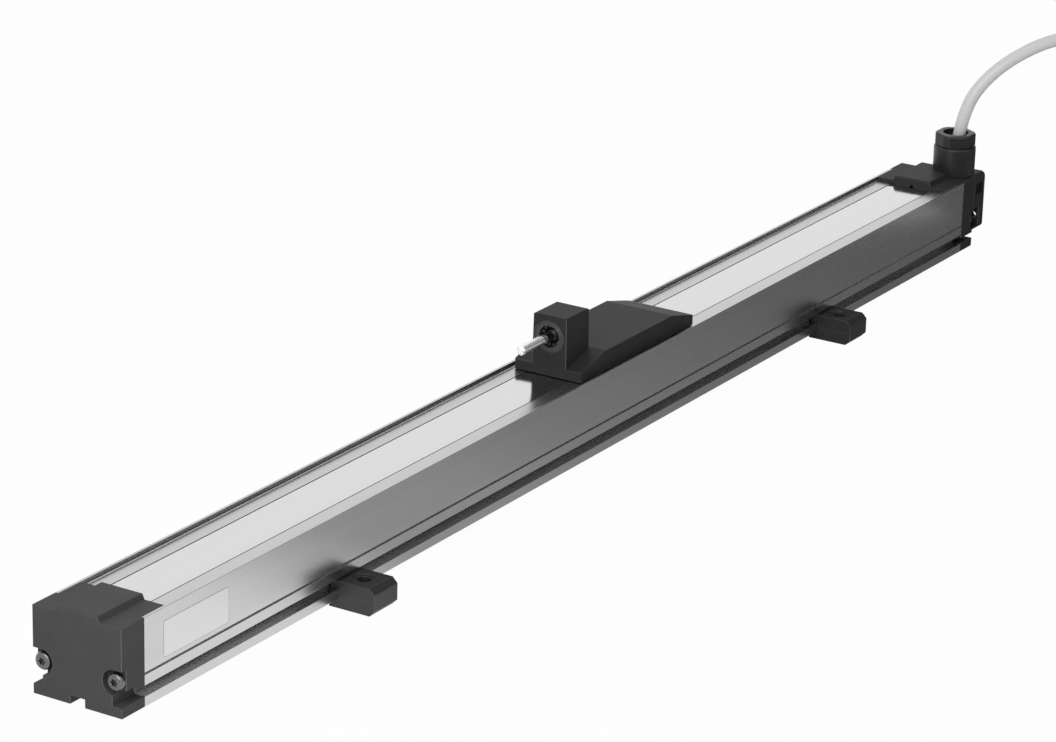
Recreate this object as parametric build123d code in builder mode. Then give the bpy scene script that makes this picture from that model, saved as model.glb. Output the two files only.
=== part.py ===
from build123d import *
from math import cos, pi, radians, sin, sqrt, tan
import os

os.makedirs("parts", exist_ok=True)

# Linear potentiometer: an extruded housing with a resistance track inside, a carriage that runs
# over it under a lifting steel cover band, and a ball coupling that joins the carriage to a machine.
# Millimetres. +X runs along the housing to the cable end, +Y to the back, +Z up.
# Z is 0 on the mounting plane, under the clamps, and X is 0 halfway along the whole length.

# Driving dimensions of the housing
profile_width = 38.0
profile_height = 33.0
stand_off = 3.9
near_cap_length = 12.8
far_cap_length = 11.4
cable_boss_length = 12.1

# Driving dimensions of the carriage and its stroke
stroke = 500.0
carriage_length = 88.6
carriage_width = 31.4
end_play = 1.75
near_flap_length = 12.6
far_flap_length = 15.3
carriage_rest = 274.4
profile_length = near_flap_length + carriage_length + stroke + 2 * end_play + far_flap_length

# Section of the housing, as drops from its top edge and heights from its underside
rim_thickness = 1.1
rim_slope = 1.0
deck_drop = 1.6
deck_thickness = 2.8
band_width = 19.8
band_thickness = 0.2
slot_width = 13.8
groove_depth = 4.1
groove_height = 4.1
foot_thickness = 3.75
wall_thickness = 2.8
floor_height = 6.4
screw_height = 12.5
screw_inset = 3.5
rail_height = 17.0
sight_groove_height = 12.24
sight_groove_size = 0.5
keel_slot_width = 6.4
keel_slot_depth = 3.25

# Resistance board and the room it slides into
board_width = 24.4
board_thickness = 1.6
board_height = 8.0
track_thickness = 0.1
track_width = 5.0
track_spread = 10.0

# Running clearances
slide_gap = 0.1
fit_gap = 0.05
stop_gap = 0.3

# Planes worked out from the driving dimensions
half_width = profile_width / 2
total_length = near_cap_length + profile_length + far_cap_length + cable_boss_length
near_x = near_cap_length - total_length / 2
far_x = near_x + profile_length
base_z = stand_off
top_z = base_z + profile_height
deck_z = top_z - deck_drop
band_z = deck_z - band_thickness
ceiling_z = deck_z - deck_thickness
rail_z = base_z + rail_height
floor_z = base_z + floor_height
foot_z = base_z + foot_thickness
groove_z = foot_z + groove_height
groove_y = half_width - groove_depth
cavity_y = half_width - wall_thickness
rim_y = half_width - rim_thickness
deck_y = rim_y - rim_slope
screw_y = half_width - screw_inset
screw_z = base_z + screw_height
screw_wall = screw_inset + 3.9
channel_y = half_width - screw_wall
keel_z = base_z + keel_slot_depth
board_z = base_z + board_height
board_top = board_z + board_thickness
track_z = board_top + track_thickness

# Where the carriage is stored, and how far it may still go each way
carriage_start = near_x + near_flap_length + end_play + carriage_rest
carriage_end = carriage_start + carriage_length
carriage_middle = (carriage_start + carriage_end) / 2


def both_sides(half):
    """Close a half outline given as (y, z) points by its mirror image and return the face."""
    with BuildSketch() as outline:
        with BuildLine():
            Polyline(*half)
            mirror(about=Plane.YZ)
        make_face()
    return outline.sketch


def across(x):
    """Plane square to the housing at x, with +Y across it and +Z up it."""
    return Plane.YZ.offset(x)


def along(y):
    """Side-view plane at y, with +X along it and +Z up it."""
    return Plane.XZ.offset(-y)


# Housing: one aluminium extrusion, open along the top, with clamp grooves low on both sides
sight_z = base_z + sight_groove_height
housing_half = [
    (0, keel_z),
    (keel_slot_width / 2, keel_z),
    (keel_slot_width / 2, base_z),
    (half_width, base_z),
    (half_width, foot_z),
    (groove_y, foot_z),
    (groove_y, groove_z),
    (half_width, groove_z),
    (half_width, sight_z - sight_groove_size),
    (half_width - sight_groove_size, sight_z),
    (half_width, sight_z + sight_groove_size),
    (half_width, top_z),
    (rim_y, top_z),
    (rim_y - 0.25 * rim_slope, top_z - 0.6 * deck_drop),
    (rim_y - 0.55 * rim_slope, top_z - 0.87 * deck_drop),
    (deck_y, deck_z),
    (band_width / 2 + slide_gap, deck_z),
    (band_width / 2 + slide_gap, band_z),
    (slot_width / 2, band_z),
    (slot_width / 2, ceiling_z),
    (cavity_y, ceiling_z),
    (cavity_y, rail_z),
    (channel_y, rail_z),
    (channel_y, board_top + slide_gap),
    (board_width / 2 + fit_gap, board_top + slide_gap),
    (board_width / 2 + fit_gap, board_z),
    (channel_y - 0.6, board_z),
    (channel_y - 0.6, floor_z),
    (0, floor_z),
]
cap_screw_radius = 1.95
with BuildPart() as profile_housing:
    with BuildSketch(across(near_x)):
        add(both_sides(housing_half))
        with Locations((screw_y, screw_z), (-screw_y, screw_z)):
            Circle(cap_screw_radius, mode=Mode.SUBTRACT)
    extrude(amount=profile_length)
profile_housing.part.label = "profile_housing"
export_step(profile_housing.part, "parts/profile_housing.step")

# Resistance board with its two printed tracks, slid into the housing's side grooves
board_inset = 8.0
with BuildPart() as resistance_board:
    with BuildSketch(Plane.XY.offset(board_z)):
        with Locations(((near_x + far_x) / 2, 0)):
            Rectangle(profile_length - 2 * board_inset, board_width)
    extrude(amount=board_thickness)
resistance_board.part.label = "resistance_board"
export_step(resistance_board.part, "parts/resistance_board.step")

track_inset = 34.0
for side, name in ((-1, "resistance_track"), (1, "collector_track")):
    with BuildPart() as track:
        with BuildSketch(Plane.XY.offset(board_top)):
            with Locations(((near_x + far_x) / 2, side * track_spread / 2)):
                SlotOverall(profile_length - 2 * track_inset, track_width)
        extrude(amount=track_thickness)
    track.part.label = name
    export_step(track.part, f"parts/{name}.step")

# End caps: the housing's outline with a raised middle, a flap that lies in the top channel over the
# end of the band, and a spigot that fills the slot under the band
raise_height = 2.2
raise_half = 8.6
raise_slope = 1.0
raised_z = top_z + raise_height
cap_half = [
    (0, keel_z),
    (keel_slot_width / 2, keel_z),
    (keel_slot_width / 2, base_z),
    (half_width, base_z),
    (half_width, foot_z),
    (groove_y, foot_z),
    (groove_y, groove_z),
    (half_width, groove_z),
    (half_width, top_z),
    (raise_half + raise_slope, top_z),
    (raise_half, raised_z),
    (0, raised_z),
]
flap_half = [
    (0, deck_z),
    (deck_y - slide_gap, deck_z),
    (rim_y - slide_gap, top_z),
    (raise_half + raise_slope, top_z),
    (raise_half, raised_z),
    (0, raised_z),
]
spigot_half_width = slot_width / 2 - 0.2
spigot_z = base_z + 19.0
pocket_radius = 4.8
side_notch_height = 1.7
side_notch_depth = 7.0
pocket_depth = 2.6
cap_hole_radius = 2.15
clamp_bar_height = 2.1
clamp_bar_length = 7.8
clamp_bar_width = 16.0
clamp_bar_inset = 1.6
gasket_thickness = 0.5
gasket_rim = 1.6
gasket_width = 2 * (channel_y + 1.0)
gasket_height = ceiling_z - floor_z - gasket_rim
gasket_z = (floor_z + ceiling_z) / 2


def gasket_face():
    """Square ring of the end seal, round the housing's inner space."""
    with BuildSketch() as ring:
        with Locations((0, gasket_z)):
            Rectangle(gasket_width, gasket_height)
            Rectangle(gasket_width - 2 * gasket_rim, gasket_height - 2 * gasket_rim, mode=Mode.SUBTRACT)
    return ring.sketch


def screw_pockets(depth_side):
    """Two round pockets for the cap screws, open to the sides of the cap."""
    with BuildSketch() as pockets:
        for side in depth_side:
            with Locations((side * screw_y, screw_z)):
                Circle(pocket_radius)
            with Locations((side * half_width, screw_z)):
                Rectangle(2 * screw_inset, 2 * pocket_radius)
    return pockets.sketch


with BuildPart() as near_end_cap:
    with BuildSketch(across(near_x - near_cap_length)):
        add(both_sides(cap_half))
    extrude(amount=near_cap_length)
    outer_rim = near_end_cap.faces().sort_by(Axis.X)[0].edges().group_by(Axis.Z)[-1]
    chamfer(outer_rim, 0.5)
    with BuildSketch(across(near_x)):
        add(both_sides(flap_half))
    extrude(amount=near_flap_length)
    ridge_edges = near_end_cap.edges().filter_by(Axis.Y).group_by(Axis.Z)[-1]
    chamfer(ridge_edges.sort_by(Axis.X)[-1], 0.3)
    with BuildSketch(across(near_x)):
        with Locations((0, (spigot_z + band_z) / 2)):
            Rectangle(2 * spigot_half_width, band_z - spigot_z)
    extrude(amount=near_flap_length)
    with BuildSketch(across(near_x + clamp_bar_inset)):
        with Locations((0, deck_z + clamp_bar_height / 2)):
            Rectangle(clamp_bar_width, clamp_bar_height)
        with Locations((0, deck_z - band_thickness / 2)):
            Rectangle(band_width, band_thickness)
    extrude(amount=clamp_bar_length, mode=Mode.SUBTRACT)
    with BuildSketch(across(near_x - near_cap_length)):
        add(screw_pockets((-1, 1)))
    extrude(amount=pocket_depth, mode=Mode.SUBTRACT)
    with BuildSketch(across(near_x - near_cap_length)):
        with Locations((half_width, groove_z), (-half_width, groove_z)):
            Rectangle(2 * groove_depth, 2 * side_notch_height)
    extrude(amount=side_notch_depth, mode=Mode.SUBTRACT)
    with BuildSketch(across(near_x - near_cap_length)):
        with Locations((screw_y, screw_z), (-screw_y, screw_z)):
            Circle(cap_hole_radius)
    extrude(amount=near_cap_length, mode=Mode.SUBTRACT)
    with BuildSketch(across(near_x - gasket_thickness)):
        add(gasket_face())
    extrude(amount=gasket_thickness, mode=Mode.SUBTRACT)
near_end_cap.part.label = "near_end_cap"
export_step(near_end_cap.part, "parts/near_end_cap.step")

# Connection cap: the same outline, with a boss at its front for the cable gland and its leads
gland_x = far_x + 11.5
gland_y = -7.7
gland_radius = 9.65
gland_thread_radius = 7.6
gland_thread_length = 6.0
boss_front = -half_width + 0.5
boss_back = 2.6
boss_low = groove_z - 1.5
boss_top_fillet = 2.3
boss_low_fillet = 1.8
boss_skin = 1.2
driver_radius = 1.9
driver_wall = 5.4
lead_room_low = base_z + 18.5
deep_pocket_depth = 2.0
notch_radius = 1.25
spigot_length_far = 15.0
cap_end = far_x + far_cap_length
boss_end = cap_end + cable_boss_length

with BuildPart() as connection_cap:
    with BuildSketch(across(far_x)):
        add(both_sides(cap_half))
    extrude(amount=far_cap_length)
    with BuildSketch(across(far_x)):
        with Locations((-half_width + groove_depth / 2, (boss_low + groove_z) / 2)):
            Rectangle(groove_depth, groove_z - boss_low)
    extrude(amount=far_cap_length)
    with BuildSketch(across(cap_end)):
        with Locations(((boss_front + boss_back) / 2, (boss_low + top_z) / 2)):
            Rectangle(boss_back - boss_front, top_z - boss_low)
        front_corners = vertices().group_by(Axis.X)[0].sort_by(Axis.Y)
        fillet(front_corners[0], boss_low_fillet)
        fillet(vertices().group_by(Axis.X)[0].sort_by(Axis.Y)[-1], boss_top_fillet)
    extrude(amount=cable_boss_length)
    boss_rim = connection_cap.faces().sort_by(Axis.X)[-1].edges()
    fillet(boss_rim, 0.6)
    with BuildSketch(across(far_x - far_flap_length)):
        add(both_sides(flap_half))
    extrude(amount=far_flap_length)
    ridge_front = connection_cap.edges().filter_by(Axis.Y).group_by(Axis.Z)[-1].sort_by(Axis.X)[0]
    chamfer(ridge_front, 0.6)
    with BuildSketch(across(far_x - spigot_length_far)):
        with Locations((0, (spigot_z + band_z) / 2)):
            Rectangle(2 * spigot_half_width, band_z - spigot_z)
    extrude(amount=spigot_length_far)
    with BuildSketch(across(far_x - clamp_bar_inset - clamp_bar_length)):
        with Locations((0, deck_z + clamp_bar_height / 2)):
            Rectangle(clamp_bar_width, clamp_bar_height)
        with Locations((0, deck_z - band_thickness / 2)):
            Rectangle(band_width, band_thickness)
    extrude(amount=clamp_bar_length, mode=Mode.SUBTRACT)
    with BuildSketch(across(far_x - far_flap_length)):
        with Locations((0, deck_z)):
            Circle(notch_radius)
    extrude(amount=1.5, mode=Mode.SUBTRACT)
    with BuildSketch(across(cap_end - deep_pocket_depth)):
        add(screw_pockets((-1, 1)))
    extrude(amount=deep_pocket_depth + cable_boss_length - driver_wall, mode=Mode.SUBTRACT)
    with BuildSketch(across(cap_end)):
        with Locations((-screw_y, screw_z)):
            Circle(driver_radius)
    extrude(amount=cable_boss_length, mode=Mode.SUBTRACT)
    with BuildSketch(across(cap_end + 2.1)):
        with Locations((boss_front, base_z + 26.0)):
            Rectangle(5.0, 5.5)
    extrude(amount=cable_boss_length - boss_skin - 2.1, mode=Mode.SUBTRACT)
    with BuildSketch(across(far_x)):
        with Locations((screw_y, screw_z), (-screw_y, screw_z)):
            Circle(cap_hole_radius)
    extrude(amount=far_cap_length, mode=Mode.SUBTRACT)
    with BuildSketch(across(far_x)):
        add(gasket_face())
    extrude(amount=gasket_thickness, mode=Mode.SUBTRACT)
    with BuildSketch(Plane.XY.offset(top_z)):
        with Locations((gland_x, gland_y)):
            Circle(gland_radius + fit_gap)
    extrude(amount=raise_height + 1.0, mode=Mode.SUBTRACT)
    with BuildSketch(Plane.XY.offset(top_z - gland_thread_length)):
        with Locations((gland_x, gland_y)):
            Circle(gland_thread_radius)
    extrude(amount=gland_thread_length, mode=Mode.SUBTRACT)
    with BuildSketch(Plane.XY.offset(lead_room_low)):
        with Locations((gland_x, gland_y)):
            Rectangle(2 * (gland_thread_radius - 0.8), 2 * (gland_thread_radius - 0.8))
    extrude(amount=top_z - gland_thread_length - lead_room_low, mode=Mode.SUBTRACT)
    with BuildSketch(across(far_x)):
        with Locations((0, base_z + 14.3)):
            Rectangle(2 * (channel_y - 3.0), 9.4)
    extrude(amount=far_cap_length - 3.0, mode=Mode.SUBTRACT)
connection_cap.part.label = "connection_cap"
export_step(connection_cap.part, "parts/connection_cap.step")

# End seals, and the screws that hold the caps
for x, name in ((near_x - gasket_thickness, "near_gasket"), (far_x, "far_gasket")):
    with BuildPart() as gasket:
        with BuildSketch(across(x)):
            add(gasket_face())
        extrude(amount=gasket_thickness)
    gasket.part.label = name
    export_step(gasket.part, f"parts/{name}.step")

cap_head_radius = 3.35
cap_head_height = 2.4
cap_screw_length = 22.0
drive_radius = 1.5
drive_lobe = 0.42
drive_depth = 1.4
near_seat = near_x - near_cap_length + pocket_depth
far_seat = cap_end - deep_pocket_depth
for seat, way, name in ((near_seat, 1, "near_cap_screws"), (far_seat, -1, "far_cap_screws")):
    with BuildPart() as cap_screws:
        with BuildSketch(across(seat)):
            with Locations((screw_y, screw_z), (-screw_y, screw_z)):
                Circle(cap_screw_radius)
        extrude(amount=way * cap_screw_length)
        with BuildSketch(across(seat)):
            with Locations((screw_y, screw_z), (-screw_y, screw_z)):
                Circle(cap_head_radius)
        extrude(amount=-way * cap_head_height)
        head_faces = cap_screws.faces().filter_by(Axis.X).sort_by(Axis.X)
        outer_faces = head_faces[0:2] if way > 0 else head_faces[-2:]
        fillet(outer_faces.edges(), 1.3)
        with BuildSketch(across(seat - way * cap_head_height)):
            with Locations((screw_y, screw_z), (-screw_y, screw_z)):
                Circle(drive_radius - drive_lobe)
                with PolarLocations(drive_radius - drive_lobe, 6):
                    Circle(drive_lobe)
        extrude(amount=way * drive_depth, mode=Mode.SUBTRACT)
    cap_screws.part.label = name
    export_step(cap_screws.part, f"parts/{name}.step")

# Band clamps under the flaps, and rubber stops on the spigots
near_bar_x = near_x + clamp_bar_inset
far_bar_x = far_x - clamp_bar_inset - clamp_bar_length
for x, name in ((near_bar_x, "near_band_clamp"), (far_bar_x, "far_band_clamp")):
    with BuildPart() as band_clamp:
        with BuildSketch(across(x)):
            with Locations((0, deck_z + clamp_bar_height / 2)):
                Rectangle(clamp_bar_width, clamp_bar_height)
        extrude(amount=clamp_bar_length)
    band_clamp.part.label = name
    export_step(band_clamp.part, f"parts/{name}.step")

saddle_inset = 4.3
saddle_start = carriage_start + saddle_inset
saddle_end = carriage_end - saddle_inset
bumper_height = 7.0
near_stop_x = near_x + near_flap_length
near_bumper_length = saddle_start - carriage_rest - stop_gap - near_stop_x
far_stop_x = far_x - spigot_length_far
far_bumper_length = far_stop_x - (saddle_end + stroke - carriage_rest + stop_gap)
for x, length, name in (
    (near_stop_x, near_bumper_length, "near_bumper"),
    (far_stop_x, -far_bumper_length, "far_bumper"),
):
    with BuildPart() as bumper:
        with BuildSketch(across(x)):
            with Locations((0, spigot_z + bumper_height / 2)):
                RectangleRounded(2 * spigot_half_width - 1.0, bumper_height - 0.4, 1.5)
        extrude(amount=length)
    bumper.part.label = name
    export_step(bumper.part, f"parts/{name}.step")

# Cover band: flat on its ledges, lifted over the saddle inside the carriage
lift_height = 2.1
lift_inset = 3.6
lift_ramp = 12.6
band_inset = clamp_bar_inset + 0.4
band_low = [
    (near_x + band_inset, 0),
    (carriage_start + lift_inset, 0),
    (carriage_start + lift_inset + lift_ramp, lift_height),
    (carriage_end - lift_inset - lift_ramp, lift_height),
    (carriage_end - lift_inset, 0),
    (far_x - band_inset, 0),
]
band_outline = [(x, band_z + lift) for x, lift in band_low]
band_outline += [(x, deck_z + lift) for x, lift in reversed(band_low)]
with BuildPart() as cover_band:
    with BuildSketch(Plane.XZ):
        with BuildLine():
            Polyline(*band_outline, close=True)
        make_face()
    extrude(amount=band_width / 2, both=True)
cover_band.part.label = "cover_band"
export_step(cover_band.part, "parts/cover_band.step")

# Saddle: runs inside the housing, with a neck through the slot and wings that carry the cover
saddle_height = 18.0
saddle_low = base_z + saddle_height
saddle_top = ceiling_z - 1.7
saddle_half = 13.0
neck_half = slot_width / 2 - 0.6
neck_inset = lift_inset + lift_ramp + 0.2
neck_start = carriage_start + neck_inset
neck_end = carriage_end - neck_inset
wing_low = deck_z + 0.4
wing_middle = band_z + lift_height - fit_gap
wing_top = wing_low + 4.4
wing_inner = band_width / 2 + 0.5
wing_outer = 13.6
saddle_screw_x = 20.0
saddle_screw_y = (wing_inner + wing_outer) / 2
saddle_screw_radius = 1.1
saddle_head_radius = 1.4
with BuildPart() as saddle:
    with BuildSketch(across(saddle_start)):
        with Locations((0, (saddle_low + saddle_top) / 2)):
            Rectangle(2 * saddle_half, saddle_top - saddle_low)
    extrude(amount=saddle_end - saddle_start)
    with BuildSketch(across(neck_start)):
        with Locations((0, (saddle_top + wing_low) / 2)):
            Rectangle(2 * neck_half, wing_low - saddle_top)
        with Locations((0, (wing_low + wing_middle) / 2)):
            Rectangle(2 * wing_outer, wing_middle - wing_low)
        for side in (-1, 1):
            with Locations((side * (wing_inner + wing_outer) / 2, (wing_low + wing_top) / 2)):
                Rectangle(wing_outer - wing_inner, wing_top - wing_low)
    extrude(amount=neck_end - neck_start)
    with BuildSketch(Plane.XY.offset(wing_low)):
        with Locations((carriage_middle, 0)):
            with GridLocations(2 * saddle_screw_x, 2 * saddle_screw_y, 2, 2):
                Circle(saddle_screw_radius)
    extrude(amount=wing_top - wing_low, mode=Mode.SUBTRACT)
    with BuildSketch(Plane.XY.offset(wing_low)):
        with Locations((carriage_middle, 0)):
            with GridLocations(2 * saddle_screw_x, 2 * saddle_screw_y, 2, 2):
                Circle(saddle_head_radius)
    extrude(amount=1.2, mode=Mode.SUBTRACT)
saddle.part.label = "saddle"
export_step(saddle.part, "parts/saddle.step")

saddle_screw_length = wing_top - wing_low + 2.6
with BuildPart() as saddle_screws:
    with BuildSketch(Plane.XY.offset(wing_low)):
        with Locations((carriage_middle, 0)):
            with GridLocations(2 * saddle_screw_x, 2 * saddle_screw_y, 2, 2):
                Circle(saddle_screw_radius)
    extrude(amount=saddle_screw_length)
    with BuildSketch(Plane.XY.offset(wing_low)):
        with Locations((carriage_middle, 0)):
            with GridLocations(2 * saddle_screw_x, 2 * saddle_screw_y, 2, 2):
                Circle(saddle_head_radius)
    extrude(amount=1.2)
saddle_screws.part.label = "saddle_screws"
export_step(saddle_screws.part, "parts/saddle_screws.step")

# Glide shoes at the saddle's four corners, between the rails, the walls and the ceiling
shoe_length = 10.0
shoe_width = cavity_y - slide_gap - saddle_half
shoe_height = ceiling_z - rail_z - 2 * slide_gap
with BuildPart() as glide_shoes:
    with BuildSketch(Plane.XY.offset(rail_z + slide_gap)):
        with Locations(((saddle_start + saddle_end) / 2, 0)):
            with GridLocations(saddle_end - saddle_start - shoe_length, 2 * saddle_half + shoe_width, 2, 2):
                Rectangle(shoe_length, shoe_width)
    extrude(amount=shoe_height)
    chamfer(glide_shoes.edges().filter_by(Axis.Y), 0.6)
glide_shoes.part.label = "glide_shoes"
export_step(glide_shoes.part, "parts/glide_shoes.step")

# Skids that lift the band onto the saddle, and felt strips that wipe it at both ends of the cover
skid_length = 8.0
skid_gap = 0.1
skid_flat = 0.6
skid_slope = lift_height / lift_ramp
skid_top = band_z + lift_height - skid_gap
skid_tip = skid_top - (skid_length - skid_flat) * skid_slope
with BuildPart() as band_skids:
    for end, way in ((neck_start, -1), (neck_end, 1)):
        with BuildSketch(Plane.XZ):
            with BuildLine():
                Polyline(
                    (end, wing_low),
                    (end, skid_top),
                    (end + way * skid_flat, skid_top),
                    (end + way * skid_length, skid_tip),
                    (end + way * skid_length, wing_low),
                    close=True,
                )
            make_face()
        extrude(amount=neck_half, both=True)
band_skids.part.label = "band_skids"
export_step(band_skids.part, "parts/band_skids.step")

lip_thickness = 2.0
felt_thickness = 1.4
lip_room_top = deck_z + 2.8
with BuildPart() as band_felts:
    with BuildSketch(Plane.XY.offset(deck_z + slide_gap)):
        with Locations((carriage_middle, 0)):
            with GridLocations(carriage_length - 2 * lip_thickness - felt_thickness, 0, 2, 1):
                Rectangle(felt_thickness, band_width)
    extrude(amount=lip_room_top - deck_z - slide_gap)
band_felts.part.label = "band_felts"
export_step(band_felts.part, "parts/band_felts.step")

# Carriage cover: one moulding with sloping ends, hollow over the band, and the tower of the coupling
cover_half = carriage_width / 2
cover_low = wing_low
plate_height = 35.8
plateau_height = 40.4
plate_z = base_z + plate_height
plateau_z = base_z + plateau_height
end_slope = 17.6
tower_length = 17.2
tower_half = 7.9
tower_draft = 0.35
tower_y = -0.5
tower_height = 56.85
coupling_height = 48.0
tower_top = base_z + tower_height
coupling_z = base_z + coupling_height
insert_radius = 6.7
insert_recess = 0.35
insert_depth = 12.4
room_step = 7.0
with BuildPart() as carriage_cover:
    with BuildSketch(Plane.XZ):
        with BuildLine():
            Polyline(
                (carriage_start, cover_low),
                (carriage_start, plate_z),
                (carriage_start + 0.8, plate_z),
                (carriage_start + 0.8 + end_slope, plateau_z),
                (carriage_end - end_slope, plateau_z),
                (carriage_end, plate_z),
                (carriage_end, cover_low),
                close=True,
            )
        make_face()
    extrude(amount=cover_half, both=True)
    corners = carriage_cover.edges().filter_by(Axis.Z)
    fillet(corners, 1.0)
    with BuildSketch(Plane.XZ):
        with BuildLine():
            Polyline(
                (carriage_start + lip_thickness, cover_low),
                (carriage_start + lip_thickness, lip_room_top),
                (carriage_start + lip_thickness + room_step, wing_top),
                (carriage_end - lip_thickness - room_step, wing_top),
                (carriage_end - lip_thickness, lip_room_top),
                (carriage_end - lip_thickness, cover_low),
                close=True,
            )
        make_face()
    extrude(amount=wing_outer, both=True, mode=Mode.SUBTRACT)
    with BuildSketch(across(carriage_start)):
        with BuildLine():
            Polyline(
                (tower_y - tower_half, plate_z - 0.5),
                (tower_y - tower_half + tower_draft, tower_top),
                (tower_y + tower_half - tower_draft, tower_top),
                (tower_y + tower_half, plate_z - 0.5),
                close=True,
            )
        make_face()
    extrude(amount=tower_length)
    tower_rim = carriage_cover.faces().sort_by(Axis.Z)[-1].edges()
    fillet(tower_rim, 0.6)
    with BuildSketch(across(carriage_start)):
        with Locations((0, coupling_z)):
            Circle(insert_radius)
    extrude(amount=insert_depth, mode=Mode.SUBTRACT)
    with BuildSketch(Plane.XY.offset(wing_top)):
        with Locations((carriage_middle, 0)):
            with GridLocations(2 * saddle_screw_x, 2 * saddle_screw_y, 2, 2):
                Circle(saddle_screw_radius)
    extrude(amount=saddle_screw_length - (wing_top - wing_low), mode=Mode.SUBTRACT)
carriage_cover.part.label = "carriage_cover"
export_step(carriage_cover.part, "parts/carriage_cover.step")

# Ball coupling: slotted socket, the cup behind the ball, the plug behind the cup, and the ball stud
ball_radius = 4.2
ball_x = carriage_start + 5.4
mouth_radius = 4.5
lip_wall = 0.5
lip_radius = 3.4
socket_sphere = ball_radius + fit_gap
cup_outer = 5.0
cup_inner = ball_radius + 0.07
cup_bore = cup_outer + fit_gap
lip_x = ball_x - sqrt(socket_sphere**2 - lip_radius**2)
socket_front = carriage_start + insert_recess
socket_back = carriage_start + insert_depth
socket_slots = 12
socket_slot_width = 0.8
coupling_axis = Axis((0, 0, coupling_z), (1, 0, 0))
arc_turn = radians(22.0)
with BuildPart() as ball_socket:
    with BuildSketch(Plane.XZ):
        with BuildLine():
            Polyline(
                (lip_x, coupling_z + lip_radius),
                (lip_x - lip_wall, coupling_z + lip_radius),
                (lip_x - lip_wall, coupling_z + mouth_radius),
                (socket_front, coupling_z + mouth_radius),
                (socket_front, coupling_z + insert_radius),
                (socket_back, coupling_z + insert_radius),
                (socket_back, coupling_z + cup_bore),
                (ball_x, coupling_z + cup_bore),
                (ball_x, coupling_z + socket_sphere),
            )
            ThreePointArc(
                (ball_x, coupling_z + socket_sphere),
                (ball_x - socket_sphere * sin(arc_turn), coupling_z + socket_sphere * cos(arc_turn)),
                (lip_x, coupling_z + lip_radius),
            )
        make_face()
    revolve(axis=coupling_axis)
    with BuildSketch(across(socket_front)):
        with Locations((0, coupling_z)):
            with PolarLocations(mouth_radius - 0.8, socket_slots):
                Rectangle(2.0, socket_slot_width)
    extrude(amount=ball_x - socket_front - 1.2, mode=Mode.SUBTRACT)
ball_socket.part.label = "ball_socket"
export_step(ball_socket.part, "parts/ball_socket.step")

cup_from = radians(16.0)
cup_mid = radians(43.0)
cup_to = radians(70.0)
with BuildPart() as ball_cup:
    with BuildSketch(Plane.XZ):
        with BuildLine():
            ThreePointArc(
                (ball_x + cup_outer * cos(cup_from), coupling_z + cup_outer * sin(cup_from)),
                (ball_x + cup_outer * cos(cup_mid), coupling_z + cup_outer * sin(cup_mid)),
                (ball_x + cup_outer * cos(cup_to), coupling_z + cup_outer * sin(cup_to)),
            )
            Line(
                (ball_x + cup_outer * cos(cup_to), coupling_z + cup_outer * sin(cup_to)),
                (ball_x + cup_inner * cos(cup_to), coupling_z + cup_inner * sin(cup_to)),
            )
            ThreePointArc(
                (ball_x + cup_inner * cos(cup_to), coupling_z + cup_inner * sin(cup_to)),
                (ball_x + cup_inner * cos(cup_mid), coupling_z + cup_inner * sin(cup_mid)),
                (ball_x + cup_inner * cos(cup_from), coupling_z + cup_inner * sin(cup_from)),
            )
            Line(
                (ball_x + cup_inner * cos(cup_from), coupling_z + cup_inner * sin(cup_from)),
                (ball_x + cup_outer * cos(cup_from), coupling_z + cup_outer * sin(cup_from)),
            )
        make_face()
    revolve(axis=coupling_axis)
ball_cup.part.label = "ball_cup"
export_step(ball_cup.part, "parts/ball_cup.step")

plug_x = ball_x + cup_outer + fit_gap
with BuildPart() as socket_plug:
    with BuildSketch(across(plug_x)):
        with Locations((0, coupling_z)):
            Circle(cup_bore)
    extrude(amount=socket_back - plug_x)
socket_plug.part.label = "socket_plug"
export_step(socket_plug.part, "parts/socket_plug.step")

stud_radius = 2.0
stud_reach = 21.2
stud_tip = carriage_start - stud_reach
with BuildPart() as ball_stud:
    with BuildSketch(across(stud_tip)):
        with Locations((0, coupling_z)):
            Circle(stud_radius)
    extrude(amount=ball_x - stud_tip)
    chamfer(ball_stud.faces().sort_by(Axis.X)[0].edges(), 0.5)
    with Locations((ball_x, 0, coupling_z)):
        Sphere(ball_radius)
ball_stud.part.label = "ball_stud"
export_step(ball_stud.part, "parts/ball_stud.step")

# Wiper block under the saddle, with a spring comb of fingers for each track
block_length = 16.0
block_half = 9.0
block_low = board_top + 3.2
finger_sheet = 0.25
finger_width = 4.0
finger_slot = 0.3
finger_slots = 4
with BuildPart() as wiper_block:
    with BuildSketch(Plane.XY.offset(block_low)):
        with Locations((carriage_middle, 0)):
            Rectangle(block_length, 2 * block_half)
    extrude(amount=saddle_low - block_low)
    chamfer(wiper_block.edges().filter_by(Axis.Z), 1.0)
wiper_block.part.label = "wiper_block"
export_step(wiper_block.part, "parts/wiper_block.step")

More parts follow.
